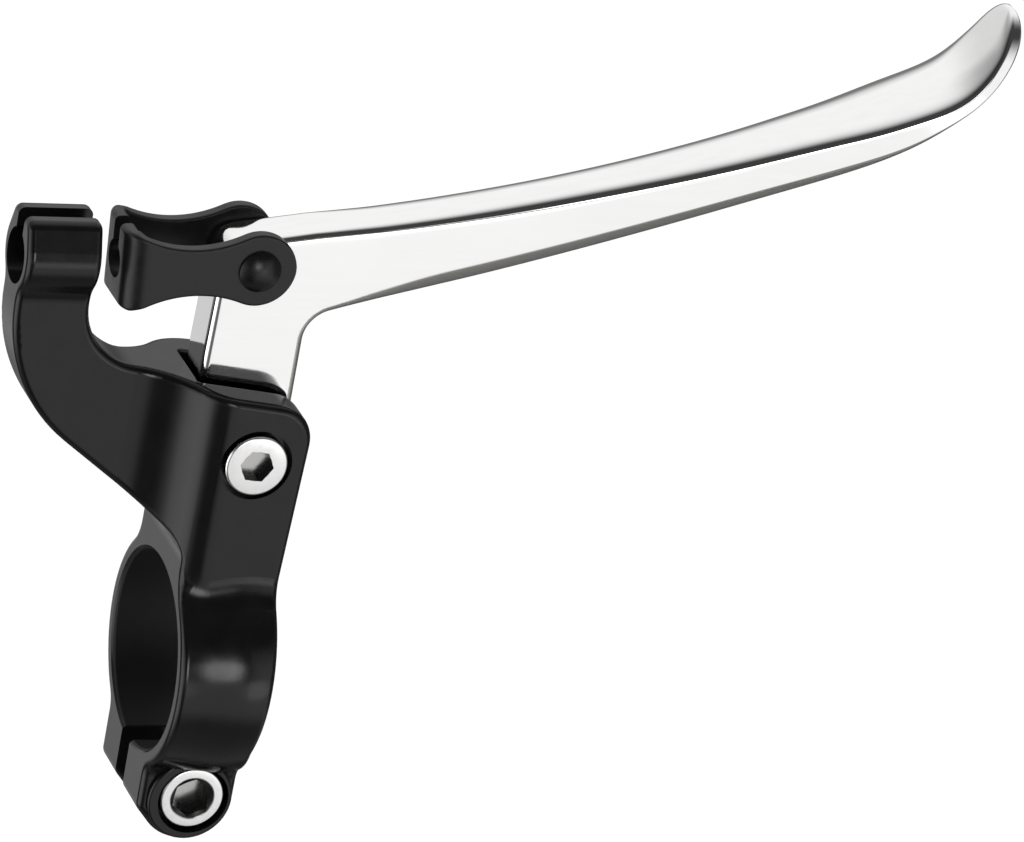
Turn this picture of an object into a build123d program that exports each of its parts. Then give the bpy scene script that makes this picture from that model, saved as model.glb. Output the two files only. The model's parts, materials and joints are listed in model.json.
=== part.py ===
from build123d import *
import os
from math import acos, atan2, cos, radians, sin, sqrt, tan

# Bicycle brake lever with a split bar clamp. Millimetres.
# Origin: centre of the clamp bore. X runs along the bar to the blade's tip, Y across the fork, Z up.
# The bolt heads face -Y, the near side.

# Clearances
running_clearance = 0.05
thread_clearance = 0.03
bolt_hole_clearance = 0.2
face_clearance = 0.1
stop_clearance = 0.3

# Bar clamp
bar_diameter = 22.2
clamp_left = -6.1
right_face_x = 4.6
right_face_draft = 2.67
ring_wall = 2.6
lip_wall = 2.0
lip_width = 0.9
belly_x = 1.5
ring_right_x = 6.0
ring_right_wall = 2.1
ring_right_slope = 0.25
bore_chamfer = 0.4
fork_root_radius = 4.4
slit_width = 3.0
slit_offset = 0.9

# Clamp ears and clamp bolt
clamp_bolt_drop = 15.2
near_ear_depth = 6.5
far_ear_depth = 8.0
ear_radius = 5.3
ear_shift = 0.35
ear_chin_slope = 40.3
ear_corner_radius = 1.2
ear_shoulder_radius = 4.0
ear_neck_drop = 7.0
ear_lug_x = 5.0
ear_lug_drop = 10.8
ear_root_radius = 2.2
boss_radius = 4.9
boss_height = 0.6
boss_edge_radius = 0.3
clamp_bolt_diameter = 5.0
clamp_bolt_recess = 0.5
clamp_head_diameter = 7.4
clamp_head_height = 3.2
clamp_head_recess = 0.4
clamp_counterbore = 8.2
clamp_hex = 4.0
clamp_hex_depth = 2.4

# Fork and pivot
pivot_height = 26.6
fork_width = 16.2
fork_top = 33.8
fork_top_slope = 7.5
fork_corner_radius = 4.5
fork_slot_width = 8.2
slot_back = 6.65
slot_corner_radius = 0.5
slot_floor_clearance = 0.8
slot_edge_radius = 0.4
pivot_bolt_diameter = 5.0
pivot_bolt_recess = 0.4
pivot_head_diameter = 7.1
pivot_head_height = 1.9
pivot_head_proud = 0.3
pivot_counterbore = 8.2
pivot_hex = 3.0
pivot_hex_depth = 1.5
bolt_edge_chamfer = 0.3

# Arm and casing stop
arm_thickness = 5.6
arm_blend_start = -13.6
arm_blend_end = -3.0
arm_blend_share = 0.66
far_blend_start = -16.0
far_blend_end = -3.8
far_blend_share = 0.5
arm_root_height = 15.9
arm_root_radius = 4.0
arm_under_slope = 36.6
stop_left = -28.3
stop_length = 8.4
stop_diameter = 9.0
stop_crest_height = 4.7
stop_crest_half_width = 2.1
stop_crest_radius = 1.2
stop_rise = 0.4
stop_neck_radius = 3.0
stop_under_land = 0.37
stop_inner_land = 0.13
wire_height = 47.3
casing_bore = 6.2
casing_depth = 6.2
wire_slot = 2.4
casting_edge_radius = 0.8

# Lever: eye, heel and stem
lever_thickness = 6.0
eye_radius = 5.9
heel_rise = 1.8
stem_back_lean = 1.4
stem_front = 4.95
stem_top_corner = 2.8
stem_crook_radius = 3.6
stem_top_slope = 9.6
stem_under_slope = 15.4
lever_edge_radius = 0.9

# Lever: middle line of the blade, three arcs from the stem to the tip
blade_start_x = 12.0
blade_start_height = 48.7
blade_start_slope = 12.3
blade_start_straight = 1.2
blade_start_blend = 12.0
grip_length = 52.2
grip_turn = 8.6
shoulder_length = 15.0
shoulder_turn = 11.0
tip_length = 12.5
tip_turn = 52.5
tip_round = 5.4
blade_length = grip_length + shoulder_length + tip_length

# Sections across the blade: distance, width, thickness, crown, upper and lower corner radius
blade_root_thickness = 9.3
blade_stations = [
    (0.0, lever_thickness, blade_root_thickness, 0.0, lever_edge_radius, lever_edge_radius),
    (0.4 * grip_length, 6.6, 7.75, 0.15, 1.6, 1.6),
    (0.8 * grip_length, 8.5, 6.35, 0.35, 2.0, 1.5),
    (grip_length, 9.8, 6.0, 0.45, 2.1, 1.4),
    (grip_length + 0.57 * shoulder_length, 12.0, 5.2, 0.55, 2.0, 1.2),
    (grip_length + shoulder_length, 12.0, 3.8, 0.55, 1.5, 0.9),
    (blade_length - tip_round, 9.6, 3.1, 0.45, 1.2, 0.8),
]
blade_section_count = 14
tip_round_shares = [0.4, 0.7, 0.88, 0.97, 0.995]
greatest_corner_share = 0.42

# Pivot bush and thrust washers
bush_diameter = 7.0
washer_diameter = 10.4

# Cable link and its rivet
link_pin_x = -2.2
link_pin_drop = 0.5
link_tilt = 3.8
link_length = 15.0
link_gap_clearance = 0.2
link_wall = 1.55
link_end_wall = 1.7
link_bend_radius = 2.4
link_eye_radius = 4.2
link_waist = 5.5
link_waist_position = 7.0
link_end_height = 9.1
link_end_corner = 0.9
link_edge_radius = 0.3
nipple_hole = 4.2
nipple_slot = 2.0
pin_diameter = 3.6
pin_head_diameter = 4.7
pin_head_height = 1.1
pin_head_land = 0.25

# Sizes that follow from the driving dimensions
ring_radius = bar_diameter / 2 + ring_wall
lip_radius = bar_diameter / 2 + lip_wall
ring_right_radius = bar_diameter / 2 + ring_right_wall
half_fork = fork_width / 2
half_slot = fork_slot_width / 2
half_arm = arm_thickness / 2
half_lever = lever_thickness / 2
boss_face = -near_ear_depth - boss_height
clamp_head_face = boss_face + clamp_head_recess
clamp_seat = clamp_head_face + clamp_head_height
pivot_head_face = -half_fork - pivot_head_proud
pivot_seat = pivot_head_face + pivot_head_height
slot_floor = pivot_height - eye_radius - slot_floor_clearance
stop_right = stop_left + stop_length
stop_centre = wire_height + stop_rise
stop_top = stop_centre + stop_crest_height
neck_foot = stop_centre - sqrt(
    (stop_diameter / 2 + stop_neck_radius) ** 2 - (half_arm + stop_neck_radius) ** 2)
heel_bottom = pivot_height + heel_rise
link_pin_height = blade_start_height - link_pin_drop
washer_thickness = half_slot - half_lever - face_clearance
link_gap = lever_thickness + 2 * link_gap_clearance
link_width = link_gap + 2 * link_wall
beyond = 40.0
trim_margin = 1.0
touching = 0.01


def fork_top_at(x):
    """Height of the fork's sloping top edge at x."""
    return fork_top - x * tan(radians(fork_top_slope))


def arm_under_at(x):
    """Height of the arm's straight underside at x."""
    return arm_root_height - (x - clamp_left) * tan(radians(arm_under_slope))


def right_face_at(z):
    """Place in x of the drafted right face at a height."""
    return right_face_x + z * tan(radians(right_face_draft))


def across(sketch, low, high):
    """Extrude a side-view sketch (x, z) between two y values."""
    return extrude(Plane.XZ.offset(-low) * sketch, amount=low - high)


def along(sketch, low, high):
    """Extrude an end-view sketch (y, z) between two x values."""
    return extrude(Plane.YZ.offset(low) * sketch, amount=high - low)


def y_cylinder(radius, x, z, low, high):
    """Cylinder with its axis across the fork, between two y values."""
    return across(Pos(x, z) * Circle(radius), low, high)


def corner_vertices(face, points):
    """The vertices of a flat sketch at the given points."""
    found = []
    for point in points:
        found.append(face.vertices().sort_by_distance(Vector(*point, 0))[0])
    return found


def arm_side_view():
    """Outline of fork, arm and casing stop, seen from the near side."""
    crook = (stop_right, fork_top_at(stop_right))
    elbow = (stop_left, arm_under_at(stop_left))
    armpit = (clamp_left, arm_root_height)
    under_tangent = neck_foot - stop_under_land - elbow[1]
    under_radius = under_tangent / tan(radians(90 - arm_under_slope) / 2)
    inner_tangent = neck_foot - stop_inner_land - crook[1]
    inner_radius = inner_tangent / tan(radians(90 - fork_top_slope) / 2)
    shoulder_x = right_face_at(fork_top)
    shoulder = (shoulder_x, fork_top_at(shoulder_x))
    outline = make_face(Polyline(
        (clamp_left, 0), (right_face_at(0), 0), (right_face_at(shoulder[1]), shoulder[1]), crook,
        (stop_right, stop_top + trim_margin), (stop_left, stop_top + trim_margin), elbow, armpit,
        close=True))
    outline = fillet(corner_vertices(outline, [shoulder]), fork_corner_radius)
    outline = fillet(corner_vertices(outline, [crook]), inner_radius)
    outline = fillet(corner_vertices(outline, [elbow]), under_radius)
    return fillet(corner_vertices(outline, [armpit]), arm_root_radius)


def arm_plan():
    """Outline of arm and fork from above: a thin arm that swells into the fork in an S on each side."""
    outer_x = stop_left - trim_margin
    edges = [Line((outer_x, -half_arm), (outer_x, half_arm)), Line((beyond, -half_fork), (beyond, half_fork))]
    blends = (
        (-1, arm_blend_start, arm_blend_end, arm_blend_share),
        (1, far_blend_start, far_blend_end, far_blend_share))
    for side, start, end, share in blends:
        middle = (start + share * (end - start), side * (half_arm + share * (half_fork - half_arm)))
        arm_end = (start, side * half_arm)
        fork_start = (end, side * half_fork)
        edges.append(Line((outer_x, side * half_arm), arm_end))
        edges.append(TangentArc(arm_end, middle, tangent=(1, 0)))
        edges.append(TangentArc(fork_start, middle, tangent=(-1, 0)))
        edges.append(Line(fork_start, (beyond, side * half_fork)))
    return make_face(edges)


def stop_end_view():
    """Casing stop seen along the wire: a barrel with a flat crest, on a necked arm."""
    drop = stop_centre - pivot_height
    round_part = Pos(0, stop_centre) * Rot(0, 0, -90) * Circle(stop_diameter / 2)
    outlines = round_part.edges()
    for side in (-1, 1):
        shoulder = Pos(side * stop_crest_half_width, stop_top - stop_crest_radius) * Circle(stop_crest_radius)
        outlines += shoulder.edges()
    barrel = make_hull(outlines)
    neck = Pos(0, stop_centre - drop / 2) * Rectangle(arm_thickness, drop)
    meet = stop_centre - sqrt((stop_diameter / 2) ** 2 - half_arm ** 2)
    joined = barrel + neck
    return fillet(corner_vertices(joined, [(-half_arm, meet), (half_arm, meet)]), stop_neck_radius)


def clamp_ring():
    """Bellied clamp ring with a thin lip on its left, and the ears below it."""
    lip_end = (clamp_left + lip_width, lip_radius)
    right_end = (ring_right_x, ring_right_radius)
    half = make_face([
        Polyline((ring_right_x, 0), (clamp_left, 0), (clamp_left, lip_radius), lip_end),
        Spline(lip_end, (belly_x, ring_radius), right_end, tangents=[(1, 0), (1, -ring_right_slope)]),
        Line(right_end, (ring_right_x, 0)),
    ])
    ring = revolve(half, Axis.X)
    ear_drop = clamp_bolt_drop + ear_radius
    ears = make_face(Polyline(
        (-near_ear_depth, 0), (far_ear_depth, 0), (far_ear_depth, -ear_drop), (-near_ear_depth, -ear_drop),
        close=True))
    joined = ring + along(ears, clamp_left, ring_right_x)
    meets = ShapeList()
    for edge in on_faces(joined, "Y", [-near_ear_depth, far_ear_depth]):
        box = edge.bounding_box()
        if box.size.X > box.size.Z and box.min.Z > -ring_radius:
            meets.append(edge)
    return fillet(meets, ear_root_radius)


def ring_front_view():
    """Clamp and ears seen from the near side: the ears round off about the clamp bolt."""
    ring_top = ring_radius + trim_margin
    neck = (right_face_at(-ear_neck_drop), -ear_neck_drop)
    lug = (ear_lug_x, -ear_lug_drop)
    out = lug[0] + ear_shift
    rise = clamp_bolt_drop - ear_lug_drop
    touch = atan2(rise, out) - acos(ear_radius / sqrt(out ** 2 + rise ** 2))
    ear_side = (ear_radius * cos(touch) - ear_shift, ear_radius * sin(touch) - clamp_bolt_drop)
    chin_x = -ear_shift - ear_radius * cos(radians(ear_chin_slope))
    chin_z = -ear_radius * sin(radians(ear_chin_slope)) - clamp_bolt_drop
    corner = (clamp_left, chin_z + (chin_x - clamp_left) / tan(radians(ear_chin_slope)))
    outline = make_face([
        Polyline(corner, (clamp_left, ring_top), (right_face_at(ring_top), ring_top), neck, lug, ear_side),
        ThreePointArc(ear_side, (-ear_shift, -clamp_bolt_drop - ear_radius), (chin_x, chin_z)),
        Line((chin_x, chin_z), corner),
    ])
    outline = fillet(corner_vertices(outline, [neck, lug]), ear_shoulder_radius)
    return fillet(corner_vertices(outline, [corner]), ear_corner_radius)


def on_faces(shape, axis, values):
    """Edges of a shape that lie wholly in one of the planes axis = value."""
    found = ShapeList()
    for edge in shape.edges():
        low = getattr(edge.bounding_box().min, axis)
        high = getattr(edge.bounding_box().max, axis)
        for value in values:
            if abs(low - value) < touching and abs(high - value) < touching:
                found.append(edge)
    return found


def sharp_edges(shape, least_angle=12):
    """Edges where two faces meet at more than a slight angle."""
    meeting = {}
    for face in shape.faces():
        for edge in face.edges():
            meeting.setdefault(hash(edge), []).append((edge, face))
    found = ShapeList()
    for pairs in meeting.values():
        if len(pairs) == 2:
            edge = pairs[0][0]
            point = edge.position_at(0.5)
            normals = [face.normal_at(point) for _, face in pairs]
            if normals[0].get_angle(normals[1]) > least_angle:
                found.append(edge)
    return found


def root_edges(shape):
    """Edges where the sides of the fork run into the clamp ring."""
    found = ShapeList()
    for edge in shape.edges():
        middle = edge.position_at(0.5)
        on_ring = lip_radius - touching < sqrt(middle.Y ** 2 + middle.Z ** 2) < ring_radius + touching
        box = edge.bounding_box()
        if on_ring and box.min.Z > 0 and box.size.X > box.size.Z:
            found.append(edge)
    return found


def bracket_body():
    """Outer form of the casting, with its edges rounded, before holes and slots."""
    side = across(arm_side_view(), -beyond, beyond)
    swept = extrude(arm_plan(), amount=stop_centre)
    barrel = along(stop_end_view(), stop_left, stop_right)
    upper = side & (swept + barrel)
    ring = clamp_ring() & across(ring_front_view(), -beyond, beyond)
    body = upper + ring
    body = fillet(root_edges(body), fork_root_radius)
    body = fillet(sharp_edges(body), casting_edge_radius)
    boss = y_cylinder(boss_radius, -ear_shift, -clamp_bolt_drop, boss_face, 0)
    boss = fillet(on_faces(boss, "Y", [boss_face]), boss_edge_radius)
    return body + boss


def fork_slot():
    """Space between the cheeks of the fork, open to the top and to the blade's side."""
    plan = make_face(Polyline(
        (-slot_back, -half_slot), (beyond, -half_slot), (beyond, half_slot), (-slot_back, half_slot),
        close=True))
    corners = [(-slot_back, -half_slot), (-slot_back, half_slot)]
    plan = fillet(corner_vertices(plan, corners), slot_corner_radius)
    return Pos(0, 0, slot_floor) * extrude(plan, amount=beyond)


def wire_way():
    """Casing socket from the left, and the slot that lets the wire in from above."""
    socket = along(Pos(0, wire_height) * Circle(casing_bore / 2), stop_left, stop_left + casing_depth)
    bottom = along(Pos(0, wire_height) * Circle(wire_slot / 2), stop_left, stop_right)
    slot = along(Pos(0, wire_height + beyond / 2) * Rectangle(wire_slot, beyond), stop_left, stop_right)
    return socket + bottom + slot


def bracket():
    """One casting: split bar clamp, ears, pivot fork, arm and slotted casing stop."""
    body = bracket_body() - along(Circle(bar_diameter / 2), -beyond, beyond)
    mouths = [edge for edge in body.edges()
              if edge.is_closed and abs(edge.bounding_box().size.Y - bar_diameter) < touching]
    body = chamfer(mouths, bore_chamfer)
    body -= Pos(0, slit_offset, -beyond / 2) * Box(beyond, slit_width, beyond)
    body -= fork_slot()
    body = fillet(slot_mouth(body), slot_edge_radius)
    clear = clamp_bolt_diameter / 2 + bolt_hole_clearance
    thread = clamp_bolt_diameter / 2 + thread_clearance
    body -= y_cylinder(clamp_counterbore / 2, 0, -clamp_bolt_drop, -beyond, clamp_seat)
    body -= y_cylinder(clear, 0, -clamp_bolt_drop, -beyond, slit_offset)
    body -= y_cylinder(thread, 0, -clamp_bolt_drop, slit_offset, beyond)
    clear = pivot_bolt_diameter / 2 + bolt_hole_clearance
    thread = pivot_bolt_diameter / 2 + thread_clearance
    body -= y_cylinder(pivot_counterbore / 2, 0, pivot_height, -beyond, pivot_seat)
    body -= y_cylinder(clear, 0, pivot_height, -beyond, 0)
    body -= y_cylinder(thread, 0, pivot_height, 0, beyond)
    return body - wire_way()


def slot_mouth(body):
    """Outer edges of the fork slot: along the tops of the cheeks and down their open ends."""
    found = ShapeList()
    for edge in on_faces(body, "Y", [-half_slot, half_slot]):
        box = edge.bounding_box()
        behind = box.max.X < right_face_at(box.max.Z) - touching
        below = box.max.Z < fork_top_at(box.max.X) - touching
        floor = box.max.Z < slot_floor + touching
        if not (behind and below) and not floor:
            found.append(edge)
    return found


def socket_bolt(x, z, shank, head, head_face, seat, tip, hexagon, hexagon_depth):
    """Bolt across the object: a cylindrical head with a hex socket, and a plain shank for the thread."""
    cap = y_cylinder(head / 2, x, z, head_face, seat)
    cap = chamfer(on_faces(cap, "Y", [head_face]), bolt_edge_chamfer)
    stem = y_cylinder(shank / 2, x, z, seat, tip)
    stem = chamfer(on_faces(stem, "Y", [tip]), bolt_edge_chamfer)
    key = Pos(x, z) * RegularPolygon(hexagon / 2, 6, major_radius=False)
    return cap + stem - across(key, head_face, head_face + hexagon_depth)


def pivot_bolt():
    """Flat-headed bolt through the near cheek and the bush, threaded into the far cheek."""
    return socket_bolt(0, pivot_height, pivot_bolt_diameter, pivot_head_diameter, pivot_head_face,
                       pivot_seat, half_fork - pivot_bolt_recess, pivot_hex, pivot_hex_depth)


def clamp_bolt():
    """Cap bolt through the near ear, threaded into the far ear."""
    return socket_bolt(0, -clamp_bolt_drop, clamp_bolt_diameter, clamp_head_diameter, clamp_head_face,
                       clamp_seat, far_ear_depth - clamp_bolt_recess, clamp_hex, clamp_hex_depth)


def pivot_bush():
    """Sleeve between the cheeks that the lever turns on."""
    outer = y_cylinder(bush_diameter / 2, 0, pivot_height, -half_slot, half_slot)
    hole = pivot_bolt_diameter / 2 + running_clearance
    return outer - y_cylinder(hole, 0, pivot_height, -half_slot, half_slot)


def thrust_washer(cheek):
    """Washer on the bush, against the cheek on one side (-1 near, 1 far)."""
    low, high = sorted([cheek * half_slot, cheek * (half_slot - washer_thickness)])
    hole = bush_diameter / 2 + running_clearance
    disc = y_cylinder(washer_diameter / 2, 0, pivot_height, low, high)
    return disc - y_cylinder(hole, 0, pivot_height, low, high)


def blade_plane(distance):
    """Plane across the blade at a distance along its middle line."""
    x = blade_start_x
    z = blade_start_height
    heading = radians(blade_start_slope)
    for length, turn in ((grip_length, grip_turn), (shoulder_length, shoulder_turn), (tip_length, tip_turn)):
        step = min(length, distance)
        radius = length / radians(turn)
        end = heading + step / radius
        x += radius * (sin(end) - sin(heading))
        z += radius * (cos(heading) - cos(end))
        heading = end
        distance -= step
    return Plane((x, 0, z), x_dir=(0, 1, 0), z_dir=(cos(heading), 0, sin(heading)))


def blade_section(distance, width, thickness, crown, upper_corner, lower_corner):
    """Rounded section across the blade, crowned over its top and bottom."""
    half = width / 2
    edge = thickness / 2 - crown
    corners = [(-half, edge), (half, edge), (half, -edge), (-half, -edge)]
    if crown > 0:
        top = ThreePointArc(corners[0], (0, thickness / 2), corners[1])
        bottom = ThreePointArc(corners[2], (0, -thickness / 2), corners[3])
    else:
        top = Line(corners[0], corners[1])
        bottom = Line(corners[2], corners[3])
    outline = make_face([top, Line(corners[1], corners[2]), bottom, Line(corners[3], corners[0])])
    greatest = min(greatest_corner_share * width, 2 * greatest_corner_share * edge)
    outline = fillet(corner_vertices(outline, corners[:2]), min(upper_corner, greatest))
    outline = fillet(corner_vertices(outline, corners[2:]), min(lower_corner, greatest))
    return blade_plane(distance) * outline


def blade_sizes_at(distance):
    """Section sizes at a distance along the blade, between the two nearest stations."""
    for low, high in zip(blade_stations, blade_stations[1:]):
        if distance <= high[0]:
            share = (distance - low[0]) / (high[0] - low[0])
            return [start + share * (end - start) for start, end in zip(low, high)]
    return blade_stations[-1]


def blade_sections():
    """Evenly spaced sections from the stem to where the tip rounds off."""
    spacing = (blade_length - tip_round) / (blade_section_count - 1)
    return [blade_section(*blade_sizes_at(number * spacing)) for number in range(blade_section_count)]


def tip_sections():
    """Sections that close the blade's end: narrowing in an ellipse, thinning in a half round."""
    distance, width, thickness, crown, upper_corner, lower_corner = blade_stations[-1]
    found = [blade_section(*blade_stations[-1])]
    for share in tip_round_shares:
        narrow = sqrt(1 - share ** 2)
        into_edge = max(0.0, 1 - (1 - share) * tip_round / (thickness / 2))
        thin = sqrt(1 - into_edge ** 2)
        found.append(blade_section(
            distance + share * tip_round, narrow * width, thin * thickness, narrow * thin * crown,
            thin * upper_corner, thin * lower_corner))
    return found


def stem_side_view():
    """Outline of eye, heel and stem, up to the plane where the blade starts."""
    slope = radians(blade_start_slope)
    end_x = blade_start_x - blade_root_thickness / 2 * sin(slope)
    end_z = blade_start_height + blade_root_thickness / 2 * cos(slope)
    low_x = blade_start_x + blade_root_thickness / 2 * sin(slope)
    low_z = blade_start_height - blade_root_thickness / 2 * cos(slope)
    back_x = blade_start_straight * cos(slope)
    back_z = blade_start_straight * sin(slope)
    heel_x = stop_clearance - slot_back
    lean = tan(radians(stem_back_lean))
    top_rise = tan(radians(stem_top_slope))
    under_rise = tan(radians(stem_under_slope))
    top_bend = (end_x - back_x, end_z - back_z)
    under_bend = (low_x - back_x, low_z - back_z)
    top_at_zero = top_bend[1] - top_bend[0] * top_rise
    back_top_x = (heel_x + (top_at_zero - heel_bottom) * lean) / (1 - top_rise * lean)
    back_top = (back_top_x, top_at_zero + back_top_x * top_rise)
    crook = (stem_front, under_bend[1] - (under_bend[0] - stem_front) * under_rise)
    outline = make_face(Polyline(
        (0, pivot_height), (heel_x, heel_bottom), back_top, top_bend, (end_x, end_z), (low_x, low_z),
        under_bend, crook, (stem_front, pivot_height), close=True))
    outline = fillet(corner_vertices(outline, [back_top]), stem_top_corner)
    outline = fillet(corner_vertices(outline, [crook]), stem_crook_radius)
    outline = fillet(corner_vertices(outline, [top_bend, under_bend]), blade_start_blend)
    return outline + Pos(0, pivot_height) * Circle(eye_radius)


def lever_blade():
    """One forging: eye and heel, flat stem, and a blade that widens and curls up into a spoon tip."""
    stem = across(stem_side_view(), -half_lever, half_lever)
    end = blade_plane(0)
    rims = ShapeList()
    for edge in on_faces(stem, "Y", [-half_lever, half_lever]):
        if abs(end.to_local_coords(edge.position_at(0.5)).Z) > touching:
            rims.append(edge)
    stem = fillet(rims, lever_edge_radius)
    blade = loft(blade_sections())
    tip = loft(tip_sections())
    body = stem + blade + tip
    body -= y_cylinder(bush_diameter / 2 + running_clearance, 0, pivot_height, -beyond, beyond)
    pin_hole = pin_diameter / 2 + running_clearance
    return body - y_cylinder(pin_hole, link_pin_x, link_pin_height, -beyond, beyond)


def link_side_view():
    """Outline of the link about its pin: a round eye, a waist and a taller flat end."""
    half_waist = link_waist / 2
    half_end = link_end_height / 2
    rise = link_eye_radius - half_waist
    radius = (link_waist_position ** 2 - link_eye_radius ** 2 + half_waist ** 2) / (2 * rise)
    share = link_eye_radius / (link_eye_radius + radius)
    leave_x = -share * link_waist_position
    leave_z = share * (half_waist + radius)
    reach = sqrt(radius ** 2 - (half_waist + radius - half_end) ** 2)
    shoulder_x = -link_waist_position - reach
    outline = make_face([
        ThreePointArc((leave_x, -leave_z), (link_eye_radius, 0), (leave_x, leave_z)),
        ThreePointArc((leave_x, leave_z), (-link_waist_position, half_waist), (shoulder_x, half_end)),
        Polyline((shoulder_x, half_end), (-link_length, half_end), (-link_length, -half_end),
                 (shoulder_x, -half_end)),
        ThreePointArc((shoulder_x, -half_end), (-link_waist_position, -half_waist), (leave_x, -leave_z)),
    ])
    ends = [(-link_length, half_end), (-link_length, -half_end)]
    return fillet(corner_vertices(outline, ends), link_end_corner)


def link_plan():
    """Folded strip from above: two cheeks joined by an end wall, open towards the lever."""
    outer_y = link_width / 2
    inner_y = link_gap / 2
    inner_x = link_end_wall - link_length
    outer = make_face(Polyline(
        (-link_length, -outer_y), (beyond, -outer_y), (beyond, outer_y), (-link_length, outer_y), close=True))
    corners = [(-link_length, -outer_y), (-link_length, outer_y)]
    outer = fillet(corner_vertices(outer, corners), link_bend_radius)
    inner = make_face(Polyline(
        (inner_x, -inner_y), (beyond, -inner_y), (beyond, inner_y), (inner_x, inner_y), close=True))
    bend = link_bend_radius - link_wall
    inner = fillet(corner_vertices(inner, [(inner_x, -inner_y), (inner_x, inner_y)]), bend)
    return outer - inner


def link_place(shape):
    """Set a shape made about the link's pin into its place, tilted as the link hangs at rest."""
    return Pos(link_pin_x, 0, link_pin_height) * Rot(0, -link_tilt, 0) * shape


def cable_link():
    """Folded clevis that hooks the head of the brake wire to the lever."""
    strip = Pos(0, 0, -beyond / 2) * extrude(link_plan(), amount=beyond)
    body = strip & across(link_side_view(), -beyond, beyond)
    body = fillet(on_faces(body, "Y", [-link_width / 2, link_width / 2]), link_edge_radius)
    body -= y_cylinder(pin_diameter / 2, 0, 0, -beyond, beyond)
    inner_x = link_end_wall - link_length
    keyhole = Circle(nipple_hole / 2) + Pos(0, beyond / 2) * Rectangle(nipple_slot, beyond)
    return link_place(body - along(keyhole, -link_length, inner_x))


def link_pin():
    """Rivet through the link's cheeks, with a dome on each side."""
    half = link_width / 2
    head = pin_head_diameter / 2
    top = half + pin_head_height
    land = half + pin_head_land
    profile = make_face([
        Line((0, top), (0, -top)),
        TangentArc((0, -top), (head, -land), tangent=(1, 0)),
        Polyline((head, -land), (head, -half), (pin_diameter / 2, -half), (pin_diameter / 2, half),
                 (head, half), (head, land)),
        TangentArc((0, top), (head, land), tangent=(1, 0)),
    ])
    return Pos(link_pin_x, 0, link_pin_height) * revolve(profile, Axis.Y)


def main():
    """Build every piece and write it under its own name."""
    pieces = {
        "bracket": bracket(),
        "lever_blade": lever_blade(),
        "cable_link": cable_link(),
        "link_pin": link_pin(),
        "pivot_bolt": pivot_bolt(),
        "clamp_bolt": clamp_bolt(),
        "pivot_bush": pivot_bush(),
        "near_washer": thrust_washer(-1),
        "far_washer": thrust_washer(1),
    }
    os.makedirs("parts", exist_ok=True)
    for name, piece in pieces.items():
        export_step(piece, os.path.join("parts", name + ".step"))


if __name__ == "__main__":
    main()
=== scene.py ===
import json
import logging
import math
from dataclasses import dataclass, replace
from enum import Enum
from typing import NamedTuple

import bmesh
import bpy
from mathutils import Matrix, Vector


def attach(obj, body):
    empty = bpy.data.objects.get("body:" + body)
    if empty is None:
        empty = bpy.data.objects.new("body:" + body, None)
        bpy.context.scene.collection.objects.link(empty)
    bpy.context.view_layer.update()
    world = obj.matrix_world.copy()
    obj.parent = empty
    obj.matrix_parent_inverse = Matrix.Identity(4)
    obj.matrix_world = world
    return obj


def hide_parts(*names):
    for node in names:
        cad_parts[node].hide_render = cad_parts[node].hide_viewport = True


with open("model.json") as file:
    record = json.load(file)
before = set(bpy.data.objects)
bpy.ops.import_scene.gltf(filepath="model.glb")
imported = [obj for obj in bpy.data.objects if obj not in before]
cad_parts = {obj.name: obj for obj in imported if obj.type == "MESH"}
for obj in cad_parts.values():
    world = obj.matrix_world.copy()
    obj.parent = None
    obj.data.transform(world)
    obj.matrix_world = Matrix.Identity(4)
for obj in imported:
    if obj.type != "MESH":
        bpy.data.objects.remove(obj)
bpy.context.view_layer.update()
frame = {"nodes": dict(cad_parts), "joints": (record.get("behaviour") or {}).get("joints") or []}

# Sizes are in millimetres, as in the part's source, and meshes are in metres.
MM = 0.001
QUARTER = math.radians(90)
# Direction of a section's width on the near side, towards the bolt heads
ACROSS = Vector((0.0, -1.0, 0.0))
# Steps of a full turn, and the distance in metres within which points are merged
TURNING_STEPS = 96
MERGE_DISTANCE = 1e-7
LOG = logging.getLogger("brake_lever")

Colour = tuple[float, float, float]
Triple = tuple[float, float, float]
Point = tuple[float, float]


class Body(Enum):
    """Moving bodies of the brake lever."""

    BRACKET = "bracket"
    LEVER = "lever"
    LINK = "link"


class Slot(Enum):
    """Material slots of the record that new pieces take."""

    POLISHED = "polished_aluminium"
    LINK = "black_link"
    RIVET = "black_rivet"
    BOLT = "bright_bolt"


class Side(Enum):
    """Sides of the blade's root, as directions up or down through it."""

    TOP = 1
    UNDER = -1


class RampShape(Enum):
    """How a change between two levels runs."""

    STRAIGHT = "LINEAR"
    SMOOTH = "SMOOTHSTEP"


class Axis(Enum):
    """Axes of the part's frame."""

    X = "X"
    Y = "Y"
    Z = "Z"


def joint_place(name: str) -> Point:
    """Where a joint's axis crosses the middle plane.

    Args:
        name: The joint's name.

    Returns:
        The place as x and z.
    """
    joint = next(one for one in frame["joints"] if one["name"] == name)
    x, _, z = joint["pos_m"]
    return x / MM, z / MM


PIVOT = joint_place("lever_pivot")
PIN = joint_place("link_swing")


def in_plane(x: float, z: float) -> Vector:
    """Point of the middle plane."""
    return Vector((x, 0.0, z))


@dataclass(frozen=True)
class Section:
    """One rounded section across a swept bar, in millimetres.

    The corners are quarter ellipses, with a reach along the width and a rise along the height.
    The lower ones can be drawn towards a straight chamfer by a share.
    """

    centre: Vector
    across: Vector
    up: Vector
    width: float
    height: float
    top_reach: float
    top_rise: float
    low_reach: float
    low_rise: float
    crown: float = 0.0
    low_chamfer: float = 0.0


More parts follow.
